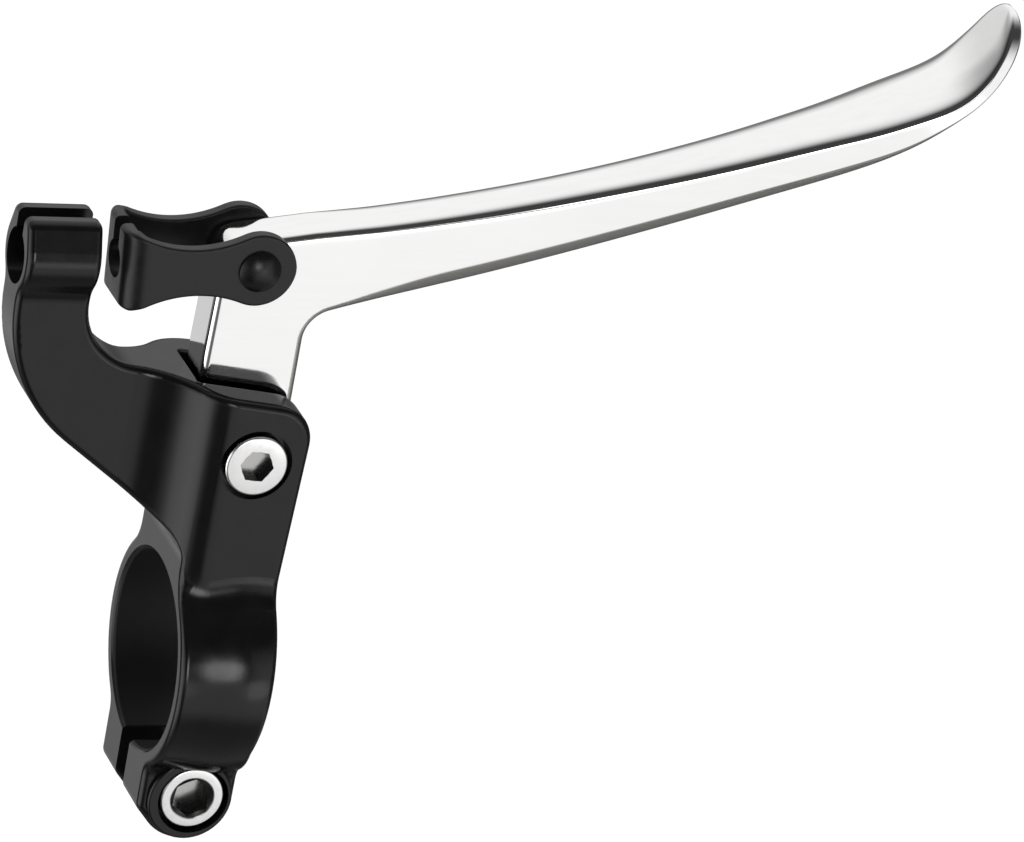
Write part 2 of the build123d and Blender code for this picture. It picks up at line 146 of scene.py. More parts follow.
class SweptBar:
    """Closed bar of quads through rounded sections."""

    CORNER_STEPS = 7
    FLAT_SHARES = (0.06, 0.35, 0.65, 0.94)
    GREATEST_CORNER = 0.97
    LOWER_EDGE = "lower_edge"
    EDGE_MARGIN = 0.01

    def __init__(self) -> None:
        """Start an empty mesh."""
        self.bm = bmesh.new()
        self.lower = self.bm.verts.layers.float.new(self.LOWER_EDGE)
        self.loops: list[list[bmesh.types.BMEdge]] = []

    def outline(self, section: Section) -> list[Point]:
        """Points round a section, from the middle of its right side, anticlockwise.

        Args:
            section: The section to follow.

        Returns:
            Pairs of distances along the section's width and height.
        """
        half_width = section.width / 2
        half_height = section.height / 2
        top = (section.top_reach, section.top_rise)
        low = (section.low_reach, section.low_rise)
        corners = [(1, 1, top, 0.0), (-1, 1, top, 90.0), (-1, -1, low, 180.0), (1, -1, low, 270.0)]
        arcs = []
        for side, level, (reach, rise), start in corners:
            reach = min(reach, half_width * self.GREATEST_CORNER)
            rise = min(rise, half_height * self.GREATEST_CORNER)
            middle = (side * (half_width - reach), level * (half_height - rise))
            arc = []
            for step in range(self.CORNER_STEPS + 1):
                angle = math.radians(start) + QUARTER * step / self.CORNER_STEPS
                arc.append((middle[0] + reach * math.cos(angle), middle[1] + rise * math.sin(angle)))
            if level < 0:
                arc = self.flattened(arc, section.low_chamfer)
            arcs.append(arc)
        points = []
        for arc, following in zip(arcs, arcs[1:] + arcs[:1]):
            points.extend(arc)
            for share in self.FLAT_SHARES:
                points.append(tuple(a + share * (b - a) for a, b in zip(arc[-1], following[0])))
        crowned = []
        for wide, high in points:
            bulge = section.crown * (1 - (wide / half_width) ** 2)
            crowned.append((wide, high * (1 + (bulge - section.crown) / half_height)))
        return crowned

    def flattened(self, arc: list[Point], share: float) -> list[Point]:
        """Draw a corner towards the straight line between its ends.

        Args:
            arc: Points of the round corner.
            share: 0 keeps the corner round, 1 makes it a chamfer.

        Returns:
            The corner's new points.
        """
        found = []
        for step, point in enumerate(arc):
            along = step / (len(arc) - 1)
            straight = [a + along * (b - a) for a, b in zip(arc[0], arc[-1])]
            found.append(tuple(p + share * (s - p) for p, s in zip(point, straight)))
        return found

    def add(self, section: Section) -> None:
        """Lay one more loop of the bar and bridge it to the last.

        Args:
            section: Where the loop lies and how large it is.
        """
        points = self.outline(section)
        low_edge = section.low_rise - section.height / 2 - self.EDGE_MARGIN
        made = bmesh.ops.create_circle(self.bm, cap_ends=False, radius=1.0, segments=len(points))
        for vertex, (wide, high) in zip(made["verts"], points):
            vertex[self.lower] = 1.0 if high < low_edge else 0.0
            vertex.co = (section.centre + section.across * wide + section.up * high) * MM
        loop = list({edge for vertex in made["verts"] for edge in vertex.link_edges})
        if self.loops:
            bmesh.ops.bridge_loops(self.bm, edges=self.loops[-1] + loop)
        self.loops.append(loop)

    def close(self) -> bmesh.types.BMesh:
        """Cap both ends and turn every face outwards.

        Returns:
            The finished mesh.
        """
        for loop in (self.loops[0], self.loops[-1]):
            bmesh.ops.contextual_create(self.bm, geom=loop)
        bmesh.ops.recalc_face_normals(self.bm, faces=self.bm.faces[:])
        return self.bm


def new_piece(name: str, bm: bmesh.types.BMesh, body: Body, node: str) -> bpy.types.Object:
    """Make a mesh a named piece of the object.

    Args:
        name: The piece's name.
        bm: Its mesh, which is freed.
        body: The body that it rides on.
        node: The solid that it stands for.

    Returns:
        The new object.
    """
    mesh = bpy.data.meshes.new(name)
    bm.to_mesh(mesh)
    bm.free()
    piece = bpy.data.objects.new(name, mesh)
    bpy.context.scene.collection.objects.link(piece)
    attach(piece, body.value)
    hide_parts(node)
    return piece


def shade(piece: bpy.types.Object, sharp_angle: float) -> None:
    """Shade a piece smoothly, apart from edges sharper than an angle in degrees."""
    piece.data.shade_smooth()
    piece.data.set_sharp_from_angle(angle=math.radians(sharp_angle))


def settle(piece: bpy.types.Object) -> None:
    """Make the result of a piece's modifiers its own mesh.

    Args:
        piece: The piece, which loses its modifiers.
    """
    bpy.context.view_layer.update()
    graph = bpy.context.evaluated_depsgraph_get()
    settled = bpy.data.meshes.new_from_object(piece.evaluated_get(graph))
    piece.modifiers.clear()
    piece.data = settled


def subdivide(piece: bpy.types.Object) -> None:
    """Round a piece's mesh by one level of subdivision.

    Args:
        piece: The piece.
    """
    smooth = piece.modifiers.new("smooth", "SUBSURF")
    smooth.levels = 1
    smooth.render_levels = 1
    settle(piece)


def drill(piece: bpy.types.Object, cutters: list[bmesh.types.BMesh]) -> None:
    """Cut closed shapes out of a piece.

    Args:
        piece: The piece to cut.
        cutters: Closed meshes, which are freed.
    """
    for bm in cutters:
        mesh = bpy.data.meshes.new("cutter")
        bm.to_mesh(mesh)
        bm.free()
        cutter = bpy.data.objects.new("cutter", mesh)
        bpy.context.scene.collection.objects.link(cutter)
        cut = piece.modifiers.new("cut", "BOOLEAN")
        cut.operation = "DIFFERENCE"
        cut.solver = "EXACT"
        cut.object = cutter
        settle(piece)
        bpy.data.objects.remove(cutter)
        bpy.data.meshes.remove(mesh)


def across_at(x: float, y: float, z: float, turn: float = 0.0) -> Matrix:
    """Place across the fork for a shape that is made along Z.

    Args:
        x: Place along the bar.
        y: Place across the fork.
        z: Height.
        turn: Turn about the shape's own axis, in degrees.

    Returns:
        The shape's transform, in metres.
    """
    turned_round = Matrix.Rotation(math.radians(turn), 4, "Y")
    return Matrix.Translation(Vector((x, y, z)) * MM) @ turned_round @ Matrix.Rotation(QUARTER, 4, "X")


def rod(
        radius: float, start_radius: float, length: float, place: Matrix, segments: int = 64
) -> bmesh.types.BMesh:
    """Round, conical or many-sided rod for cutting a hole.

    Args:
        radius: Radius at the far end of its own axis.
        start_radius: Radius at the near end.
        length: Its whole length.
        place: Where it lies.
        segments: Its sides.

    Returns:
        A closed mesh in metres.
    """
    bm = bmesh.new()
    bmesh.ops.create_cone(
        bm, cap_ends=True, segments=segments, radius1=start_radius * MM, radius2=radius * MM,
        depth=length * MM, matrix=place)
    return bm


def turned(profile: list[Point], axis: Point) -> bmesh.types.BMesh:
    """Spin a half outline about an axis across the fork.

    Args:
        profile: Points as radius and y, from one end of the axis to the other.
        axis: Place of the axis, as x and z.

    Returns:
        A closed mesh in metres.
    """
    x, z = axis
    bm = bmesh.new()
    corners = [bm.verts.new(Vector((x + radius, y, z)) * MM) for radius, y in profile]
    edges = [bm.edges.new(pair) for pair in zip(corners, corners[1:])]
    bmesh.ops.spin(
        bm, geom=corners + edges, cent=in_plane(x, z) * MM, axis=(0.0, 1.0, 0.0),
        angle=math.radians(360), steps=TURNING_STEPS, use_merge=True)
    bmesh.ops.remove_doubles(bm, verts=bm.verts[:], dist=MERGE_DISTANCE)
    bmesh.ops.recalc_face_normals(bm, faces=bm.faces[:])
    return bm


class NodeBench:
    """Adds the nodes of a material or of the world, and joins them."""

    # Places of a Mix node's colour sockets among its inputs and outputs
    MIX_FIRST = 6
    MIX_SECOND = 7
    MIX_RESULT = 2

    def __init__(self, tree: bpy.types.NodeTree) -> None:
        """Work on a node tree."""
        self.tree = tree

    @property
    def surface(self) -> bpy.types.Node:
        """The material's shader."""
        return self.tree.nodes["Principled BSDF"]

    def add(self, kind: str, inputs: dict[int | str, object], **options: object) -> bpy.types.Node:
        """Add one node.

        Args:
            kind: The node's type, without its usual prefix.
            inputs: A value, or another node's output, for each input that is used.
            options: Settings of the node, such as its operation.

        Returns:
            The new node.
        """
        node = self.tree.nodes.new("ShaderNode" + kind)
        for name, option in options.items():
            setattr(node, name, option)
        for name, given in inputs.items():
            self.feed(node.inputs[name], given)
        return node

    def feed(self, socket: bpy.types.NodeSocket, given: object) -> None:
        """Set an input to a value, or join it to another node's output.

        Args:
            socket: The input.
            given: The value or the output.
        """
        if isinstance(given, bpy.types.NodeSocket):
            self.tree.links.new(given, socket)
        else:
            socket.default_value = given

    def dress(self, name: str, given: object) -> None:
        """Set or join an input of the material's shader."""
        self.feed(self.surface.inputs[name], given)

    def behind(self, name: str) -> bpy.types.NodeSocket:
        """The output that feeds an input of the material's shader."""
        return self.surface.inputs[name].links[0].from_socket

    def reckon(self, operation: str, *inputs: object) -> bpy.types.NodeSocket:
        """Add one step of arithmetic on values or outputs."""
        return self.add("Math", dict(enumerate(inputs)), operation=operation).outputs["Value"]

    def ramp(
            self, source: bpy.types.NodeSocket, reach: Point, levels: Point,
            shape: RampShape = RampShape.STRAIGHT
    ) -> bpy.types.NodeSocket:
        """Turn a stretch of a value into a change between two levels.

        Args:
            source: The value.
            reach: Where the change starts and ends.
            levels: Levels before and after it.
            shape: How the change runs.

        Returns:
            The level.
        """
        inputs = {
            "Value": source, "From Min": reach[0], "From Max": reach[1], "To Min": levels[0],
            "To Max": levels[1]}
        return self.add("MapRange", inputs, interpolation_type=shape.value).outputs["Result"]

    def place(self) -> bpy.types.NodeSocket:
        """Place on the piece, in metres."""
        return self.add("TexCoord", {}).outputs["Object"]

    def reach(self, place: bpy.types.NodeSocket, keep: Triple) -> bpy.types.NodeSocket:
        """Distance of a place from an axis through the origin.

        Args:
            place: The place.
            keep: 0 for the axis's own direction, 1 for the other two.

        Returns:
            The distance in metres.
        """
        flat = self.add("VectorMath", {0: place, 1: keep}, operation="MULTIPLY").outputs["Vector"]
        return self.add("VectorMath", {0: flat}, operation="LENGTH").outputs["Value"]

    def mix(self, share: bpy.types.NodeSocket, first: object, second: Colour) -> bpy.types.NodeSocket:
        """Mix a colour or an output with a colour.

        Args:
            share: Share of the second.
            first: Where the share is 0.
            second: Where the share is 1.

        Returns:
            The mixed colour.
        """
        if isinstance(first, tuple):
            first = (*first, 1.0)
        inputs = {0: share, self.MIX_FIRST: first, self.MIX_SECOND: (*second, 1.0)}
        return self.add("Mix", inputs, data_type="RGBA").outputs[self.MIX_RESULT]

    def tint(self, share: bpy.types.NodeSocket, colour: Colour) -> None:
        """Give a share of the surface another colour."""
        self.dress("Base Color", self.mix(share, self.behind("Base Color"), colour))

    def roughen(self, share: bpy.types.NodeSocket, roughness: float) -> None:
        """Give a share of the surface another roughness."""
        inputs = {"Factor": share, "A": self.behind("Roughness"), "B": roughness}
        self.dress("Roughness", self.add("Mix", inputs).outputs["Result"])


@dataclass(frozen=True)
class Finish:
    """A surface finish: its colour, its gloss and the fine unevenness of both.

    Grain sizes are in millimetres, and a grain may be drawn out along an axis by its stretch.
    """

    name: str
    colour: Colour
    other_colour: Colour
    roughness: float
    other_roughness: float
    metallic: float = 0.0
    specular: float = 0.5
    grain: float = 1.0
    stretch: Triple = (1.0, 1.0, 1.0)
    bump: float = 0.002
    bump_grain: float = 0.4

    # Noise keeps mostly between these two values
    NOISE_REACH = (0.3, 0.7)
    GRAIN_DETAIL = 3.0
    FINE_DETAIL = 2.0

    def noise(self, bench: NodeBench, size: float, detail: float) -> bpy.types.NodeSocket:
        """Add a noise of a grain size, drawn out as the finish says.

        Args:
            bench: The material's nodes.
            size: Grain size in millimetres.
            detail: Octaves of the noise.

        Returns:
            The noise's value.
        """
        scale = [1.0 / (size * MM * along) for along in self.stretch]
        place = bench.add("Mapping", {"Vector": bench.place(), "Scale": scale}).outputs["Vector"]
        return bench.add("TexNoise", {"Vector": place, "Scale": 1.0, "Detail": detail}).outputs["Fac"]

    def make(self) -> bpy.types.Material:
        """Build the material.

        Returns:
            The new material.
        """
        material = bpy.data.materials.new(self.name)
        material.use_nodes = True
        bench = NodeBench(material.node_tree)
        uneven = self.noise(bench, self.grain, self.GRAIN_DETAIL)
        share = bench.ramp(uneven, self.NOISE_REACH, (0.0, 1.0))
        fine = self.noise(bench, self.bump_grain, self.FINE_DETAIL)
        bump = bench.add("Bump", {"Distance": self.bump * MM, "Height": fine})
        bench.dress("Metallic", self.metallic)
        bench.dress("Specular IOR Level", self.specular)
        bench.dress("Base Color", bench.mix(share, self.colour, self.other_colour))
        gloss = bench.ramp(uneven, self.NOISE_REACH, (self.roughness, self.other_roughness))
        bench.dress("Roughness", gloss)
        bench.dress("Normal", bump.outputs["Normal"])
        self.finish_off(bench)
        return material

    def finish_off(self, bench: NodeBench) -> None:
        """Add what only one kind of finish has."""

    def dress(self, piece: bpy.types.Object) -> None:
        """Put the finish on a piece.

        Args:
            piece: A new piece, or a solid with a material of its own.
        """
        material = self.make()
        if piece.material_slots:
            piece.material_slots[0].material = material
        else:
            piece.data.materials.append(material)


@dataclass(frozen=True)
class BoredCasting(Finish):
    """Gloss paint on a casting whose bore along the bar is left matt."""

    bore_radius: float = 11.3
    bore_roughness: float = 0.6

    def finish_off(self, bench: NodeBench) -> None:
        """Roughen the wall of the bore.

        Args:
            bench: The material's nodes.
        """
        reach = bench.reach(bench.place(), (0.0, 1.0, 1.0))
        bench.roughen(bench.reckon("LESS_THAN", reach, self.bore_radius * MM), self.bore_roughness)


@dataclass(frozen=True)
class PolishedMetal(Finish):
    """Polished metal with a rougher, unpolished band along its lower edge, darkened by painted shade."""

    # Painted shade: the dark reflection under the lower edge, laid into the metal's colour
    band_shade_colour: Colour = (0.5, 0.49, 0.47)
    band_roughness: float = 0.42
    band_grain: float = 0.35
    band_raggedness: float = 0.15
    band_edge: Point = (0.45, 0.6)

    def finish_off(self, bench: NodeBench) -> None:
        """Roughen the band that the lower edge's attribute marks, and darken it with painted shade.

        Args:
            bench: The material's nodes.
        """
        mark = bench.add("Attribute", {}, attribute_name=SweptBar.LOWER_EDGE).outputs["Fac"]
        fine = self.noise(bench, self.band_grain, self.FINE_DETAIL)
        ragged = bench.ramp(fine, self.NOISE_REACH, (-self.band_raggedness, self.band_raggedness))
        band = bench.ramp(bench.reckon("ADD", mark, ragged), self.band_edge, (0.0, 1.0))
        bench.tint(band, self.band_shade_colour)
        bench.roughen(band, self.band_roughness)


@dataclass(frozen=True)
class TurnedMetal(Finish):
    """Metal with faint turning rings about an axis across the fork, and painted shade in the socket in its
    end.

    The axis is given as x and z, and the socket as the radius, start and end of its walls.
    """

    ring_spacing: float = 0.754
    ring_depth: float = 0.0003
    ring_distortion: float = 1.0
    # Painted shade on the socket's walls, and a lighter painted shade on its floor
    wall_shade_colour: Colour = (0.07, 0.068, 0.066)
    floor_shade_colour: Colour = (0.42, 0.415, 0.41)
    floor_margin: float = 0.1
    axis: Point = (0.0, 0.0)
    socket: Triple = (0.0, 0.0, 0.0)

    # A wave texture turns by this many radians over one unit
    WAVE_RATE = 20.0

    def finish_off(self, bench: NodeBench) -> None:
        """Add the rings, and paint shade on the walls and the floor of the socket.

        Args:
            bench: The material's nodes.
        """
        centre = (-self.axis[0] * MM, 0.0, -self.axis[1] * MM)
        place = bench.add("Mapping", {"Vector": bench.place(), "Location": centre}).outputs["Vector"]
        scale = 2 * math.pi / (self.ring_spacing * MM * self.WAVE_RATE)
        inputs = {"Vector": place, "Scale": scale, "Distortion": self.ring_distortion}
        rings = bench.add("TexWave", inputs, wave_type="RINGS", rings_direction="Y").outputs["Fac"]
        inputs = {"Distance": self.ring_depth * MM, "Height": rings, "Normal": bench.behind("Normal")}
        bench.dress("Normal", bench.add("Bump", inputs).outputs["Normal"])
        radius, start, end = self.socket
        within = bench.reckon("LESS_THAN", bench.reach(place, (1.0, 0.0, 1.0)), radius * MM)
        along = bench.add("SeparateXYZ", {"Vector": place}).outputs["Y"]
        stretches = ((self.wall_shade_colour, start, end), (self.floor_shade_colour, end, end + self.floor_margin))
        for colour, low, high in stretches:
            after = bench.reckon("GREATER_THAN", along, low * MM)
            before = bench.reckon("LESS_THAN", along, high * MM)
            stretch = bench.reckon("MULTIPLY", after, before)
            bench.tint(bench.reckon("MULTIPLY", within, stretch), colour)


GLOSS_CASTING = BoredCasting(
    "gloss_black_casting", (0.0035, 0.0035, 0.0037), (0.005, 0.005, 0.0053), 0.15, 0.21, specular=0.32,
    grain=3.0, bump=0.004, bump_grain=0.9)
POLISHED_ALUMINIUM = PolishedMetal(
    "polished_aluminium", (0.91, 0.91, 0.905), (0.88, 0.88, 0.875), 0.05, 0.09, metallic=1.0,
    grain=2.0, stretch=(6.0, 0.5, 0.5), bump=0.0006, bump_grain=0.25)
SATIN_BLACK = Finish(
    "satin_black_link", (0.005, 0.005, 0.0053), (0.0075, 0.0075, 0.0078), 0.3, 0.38, specular=0.34,
    grain=1.2, bump=0.003, bump_grain=0.12)
GLOSS_RIVET = Finish(
    "gloss_black_rivet", (0.003, 0.003, 0.003), (0.005, 0.005, 0.005), 0.26, 0.32, specular=0.36,
    grain=0.8, bump=0.002, bump_grain=0.2)
BRIGHT_PLATING = TurnedMetal(
    "bright_plating", (0.73, 0.73, 0.725), (0.69, 0.69, 0.685), 0.2, 0.24, metallic=1.0,
    grain=0.6, bump=0.0004, bump_grain=0.15)
TURNED_BRASS = Finish(
    "turned_brass", (0.75, 0.58, 0.3), (0.66, 0.5, 0.25), 0.25, 0.35, metallic=1.0, grain=0.8)
NYLON = Finish(
    "black_nylon", (0.02, 0.02, 0.02), (0.035, 0.035, 0.035), 0.45, 0.6, grain=0.5, bump=0.004)


class BladeStation(NamedTuple):
    """Sizes of the blade at a distance from the stem, with the reach and rise of its corners."""

    distance: float
    width: float
    thickness: float
    crown: float
    top_reach: float
    top_rise: float
    low_reach: float
    low_rise: float


def smooth_between(stations: tuple[BladeStation, ...], place: float) -> BladeStation:
    """Follow a table of sizes smoothly, without overshooting between its rows.

    Args:
        stations: The table's rows, in order of distance.
        place: Distance at which the sizes are wanted.

    Returns:
        The sizes at that place.
    """
    place = min(max(place, stations[0].distance), stations[-1].distance)
    index = 0
    while index < len(stations) - 2 and place > stations[index + 1].distance:
        index += 1
    low, high = stations[index], stations[index + 1]
    span = high.distance - low.distance
    share = (place - low.distance) / span
    square, cube = share ** 2, share ** 3
    found = []
    for column in range(1, len(low)):
        slopes = []
        for row in (index, index + 1):
            near = stations[max(row - 1, 0):row + 2]
            steps = [(b[column] - a[column]) / (b.distance - a.distance) for a, b in zip(near, near[1:])]
            left, right = steps[0], steps[-1]
            slopes.append(0.0 if left * right <= 0 else 2 * left * right / (left + right))
        found.append(
            (2 * cube - 3 * square + 1) * low[column]
            + (cube - 2 * square + share) * span * slopes[0]
            + (3 * square - 2 * cube) * high[column]
            + (cube - square) * span * slopes[1])
    return BladeStation(place, *found)


@dataclass
class LeverBlade:
    """The polished lever: eye, heel, stem, and a blade that widens and curls up at its tip."""

    pivot_height: float = PIVOT[1]
    thickness: float = 6.0
    eye_radius: float = 5.9
    heel_x: float = -6.35
    heel_bottom: float = 28.4
    back_lean: float = 1.4
    stem_front: float = 4.95
    top_corner: float = 2.8
    crook_radius: float = 3.6
    top_slope: float = 9.6
    under_slope: float = 15.4
    blade_start: Point = (12.0, 48.7)
    start_slope: float = 12.3
    edge_radius: float = 0.9
    # Length and turn of each stretch of the blade's middle line
    arcs: tuple[Point, ...] = ((52.2, 8.6), (15.0, 11.0), (12.5, 52.5))
    tip_round: float = 5.4
    tip_edge: float = 1.6
    spoon_start: float = 62.0
    spoon_power: float = 2.6
    under_chamfer: float = 0.7
    root_chamfer_share: float = 0.5
    bush_bore: float = 3.55
    pin_bore: float = 1.85
    stations: tuple[BladeStation, ...] = (
        BladeStation(0.0, 6.0, 9.3, 0.0, 2.0, 1.05, 0.9, 1.4),
        BladeStation(8.0, 6.2, 8.7, 0.05, 2.5, 1.2, 1.0, 1.8),
        BladeStation(20.9, 6.6, 7.75, 0.15, 2.9, 1.4, 1.0, 1.7),
        BladeStation(41.8, 8.5, 6.35, 0.3, 3.6, 1.6, 0.9, 1.5),
        BladeStation(52.2, 10.0, 6.0, 0.4, 4.2, 1.7, 0.8, 1.3),
        BladeStation(60.75, 11.8, 5.2, 0.5, 4.8, 1.8, 0.6, 0.8),
        BladeStation(67.2, 12.2, 3.8, 0.5, 4.2, 1.9, 0.45, 0.45),
        BladeStation(74.3, 12.2, 2.8, 0.4, 3.0, 1.1, 0.35, 0.3),
        BladeStation(79.7, 12.2, 2.2, 0.3, 2.8, 0.9, 0.3, 0.3),
    )

    # Heights of the eye's sections below the pivot, as shares of its radius
    EYE_SHARES = (0.998, 0.985, 0.95, 0.88, 0.76, 0.6, 0.42, 0.22, 0.06)
    # Heights of the sections round the heel's step, from the heel's bottom
    HEEL_STEPS = (-1.4, -0.7, -0.05, 0.2, 0.9)
    STEM_STEP = 1.2
    STEM_GAP = 0.5
    FAN_STEPS = 26
    BLADE_STEPS = 52
    TIP_STEPS = 15
    # The last section stays just short of the very end, where it would have no size
    TIP_END = 14.4
    # First and last step of the search for the outer corner
    SEARCH_START = 8.0
    SEARCH_END = 1e-5
    SHARP_ANGLE = 35.0

    def blade_length(self) -> float:
        """Length of the blade's middle line."""
        return sum(length for length, _ in self.arcs)

    def blade_at(self, distance: float) -> tuple[Vector, Vector]:
        """Middle line of the blade.

        Args:
            distance: Length along the line from the stem.

        Returns:
            The point, and the direction up through the blade.
        """
        x, z = self.blade_start
        heading = math.radians(self.start_slope)
        for length, turn in self.arcs:
            step = min(length, distance)
            radius = length / math.radians(turn)
            end = heading + step / radius
            x += radius * (math.sin(end) - math.sin(heading))
            z += radius * (math.cos(heading) - math.cos(end))
            heading = end
            distance -= step
        return in_plane(x, z), in_plane(-math.sin(heading), math.cos(heading))

    def blade_section(self, distance: float, thin: float = 1.0) -> Section:
        """Section across the blade at a distance from the stem.

        Args:
            distance: Length along the middle line.
            thin: Share of the thickness that is left, at the tip.

        Returns:
            The section.
        """
        station = smooth_between(self.stations, distance)
        narrow = self.narrowing(distance)
        centre, up = self.blade_at(distance)
        chamfer_share = min(1.0, self.root_chamfer_share + distance / self.stations[1].distance)
        return Section(
            centre, ACROSS, up, station.width * narrow, station.thickness * thin,
            station.top_reach * narrow, station.top_rise * thin,
            station.low_reach * narrow, station.low_rise * thin,
            station.crown * narrow * thin, self.under_chamfer * chamfer_share)

    def plate_section(self, outer: Point, inner: Point) -> Section:
        """Section of the flat stem between a point of its back and one of its front.

        Args:
            outer: Point of the back edge, as x and z.
            inner: Point of the front edge, as x and z.

        Returns:
            The section.
        """
        start = in_plane(*inner)
        end = in_plane(*outer)
        edge = self.edge_radius
        return Section(
            (start + end) / 2, ACROSS, (end - start).normalized(), self.thickness, (end - start).length,
            edge, edge, edge, edge)

    def back_at(self, z: float) -> float:
        """Back edge of the stem, from the eye to the top corner.

        Args:
            z: A height.

        Returns:
            The edge's x at that height.
        """
        if z < self.heel_bottom:
            drop = min(abs(z - self.pivot_height), self.eye_radius)
            return -math.sqrt(self.eye_radius ** 2 - drop ** 2)
        return self.heel_x + (z - self.heel_bottom) * math.tan(math.radians(self.back_lean))

    def build(self) -> bpy.types.Object:
        """Model the lever as one swept bar, cut its two holes and dress it.

        Returns:
            The lever's object.
        """
        bar = SweptBar()
        stretches = (self.eye_sections, self.stem_sections, self.fan_sections, self.blade_sections)
        for stretch in stretches:
            for section in stretch():
                bar.add(section)
        piece = new_piece("polished_lever", bar.close(), Body.LEVER, "lever_blade")
        subdivide(piece)
        depth = 2 * self.thickness
        drill(piece, [
            rod(bore, bore, depth, across_at(x, 0.0, z))
            for bore, (x, z) in ((self.bush_bore, PIVOT), (self.pin_bore, PIN))])
        shade(piece, self.SHARP_ANGLE)
        POLISHED_ALUMINIUM.dress(piece)
        return piece

    def eye_sections(self) -> list[Section]:
        """Level sections that round off the eye below the pivot.

        Returns:
            The sections, from the bottom up.
        """
        found = []
        for share in self.EYE_SHARES:
            z = self.pivot_height - share * self.eye_radius
            half = self.eye_radius * math.sqrt(1 - share ** 2)
            front = min(half, self.stem_front + (half - self.stem_front) * share)
            found.append(self.plate_section((-half, z), (front, z)))
        return found

    def stem_sections(self) -> list[Section]:
        """Level sections from the pivot up to where the crook begins.

        Returns:
            The sections, from the bottom up.
        """
        heights = [self.heel_bottom + step for step in self.HEEL_STEPS]
        crook_start = self.crook_centre().z
        while heights[-1] + self.STEM_STEP < crook_start - self.STEM_GAP:
            heights.append(heights[-1] + self.STEM_STEP)
        return [self.plate_section((self.back_at(z), z), (self.stem_front, z)) for z in heights]

    def root_corner(self, side: Side) -> Point:
        """End of the blade's first section, where the straight root meets it.

        Args:
            side: Its top or its underside.

        Returns:
            The place as x and z.
        """
        slope = math.radians(self.start_slope)
        reach = side.value * self.stations[0].thickness / 2
        x, z = self.blade_start
        return x - reach * math.sin(slope), z + reach * math.cos(slope)

    def root_line_at(self, x: float, side: Side) -> float:
        """Straight top or underside of the blade's root.

        Args:
            x: A place along the bar.
            side: The top or the underside.

        Returns:
            The line's height there.
        """
        end_x, end_z = self.root_corner(side)
        slope = self.top_slope if side is Side.TOP else self.under_slope
        return end_z - (end_x - x) * math.tan(math.radians(slope))

    def crook_centre(self) -> Vector:
        """Centre of the round between the stem's front and the blade's underside.

        Returns:
            The centre.
        """
        x = self.stem_front + self.crook_radius
        drop = self.crook_radius / math.cos(math.radians(self.under_slope))
        return in_plane(x, self.root_line_at(x, Side.UNDER) - drop)

    def crook_ray(self, angle: float) -> Vector:
        """Direction from the crook's centre, in degrees above the level line to the left."""
        return in_plane(-math.cos(math.radians(angle)), math.sin(math.radians(angle)))

    def outer_point(self, angle: float) -> Point:
        """Point of the lever's outer corner that a ray from the crook's centre meets.

        Args:
            angle: The ray's angle in degrees.

        Returns:
            The point as x and z.
        """
        centre = self.crook_centre()
        ray = self.crook_ray(angle)
        reach = 0.0
        step = self.SEARCH_START
        while step > self.SEARCH_END:
            point = centre + ray * (reach + step)
            if self.inside_corner(point.x, point.z):
                reach += step
            else:
                step /= 2
        point = centre + ray * reach
        return point.x, point.z

    def inside_corner(self, x: float, z: float) -> bool:
        """Tell whether a point lies within the stem's back, its top and the round between them.

        Args:
            x: The point's place along the bar.
            z: Its height.

        Returns:
            Whether it does.
        """
        from_back = (x - self.back_at(z)) * math.cos(math.radians(self.back_lean))
        from_top = (self.root_line_at(x, Side.TOP) - z) * math.cos(math.radians(self.top_slope))
        if from_back < 0 or from_top < 0:
            return False
        short_back = self.top_corner - from_back
        short_top = self.top_corner - from_top
        if short_back <= 0 or short_top <= 0:
            return True
        turn = math.radians(90 + self.top_slope + self.back_lean)
        overlap = short_back ** 2 + short_top ** 2 + 2 * short_back * short_top * math.cos(turn)
        return overlap / math.sin(turn) ** 2 <= self.top_corner ** 2

    def fan_sections(self) -> list[Section]:
        """Sections that turn about the crook from the stem to the blade.

        Returns:
            The sections, from the stem on.
        """
        found = []
        for step in range(self.FAN_STEPS + 1):
            angle = (90 - self.under_slope) * step / self.FAN_STEPS
            inner = self.crook_centre() + self.crook_ray(angle) * self.crook_radius
            found.append(self.plate_section(self.outer_point(angle), (inner.x, inner.z)))
        return found

    def narrowing(self, distance: float) -> float:
        """Oval outline of the spoon tip.

        Args:
            distance: Length along the blade's middle line.

        Returns:
            The share of the blade's width that is left.
        """
        into = max(0.0, distance - self.spoon_start) / (self.blade_length() - self.spoon_start)
        return math.sqrt(1 - into ** self.spoon_power)

    def blade_sections(self) -> list[Section]:
        """Sections from the root of the blade to its rounded tip.

        Returns:
            The sections, from the root on.
        """
        straight = self.blade_length() - self.tip_round
        found = [self.blade_section(straight * step / self.BLADE_STEPS) for step in range(self.BLADE_STEPS)]
        edge = self.tip_edge * self.stations[-1].thickness
        for step in range(self.TIP_STEPS):
            share = math.sin(QUARTER * step / self.TIP_END)
            into_edge = max(0.0, 1 - (1 - share) * self.tip_round / edge)
            distance = straight + share * self.tip_round
            found.append(self.blade_section(distance, math.sqrt(1 - into_edge ** 2)))
        return found


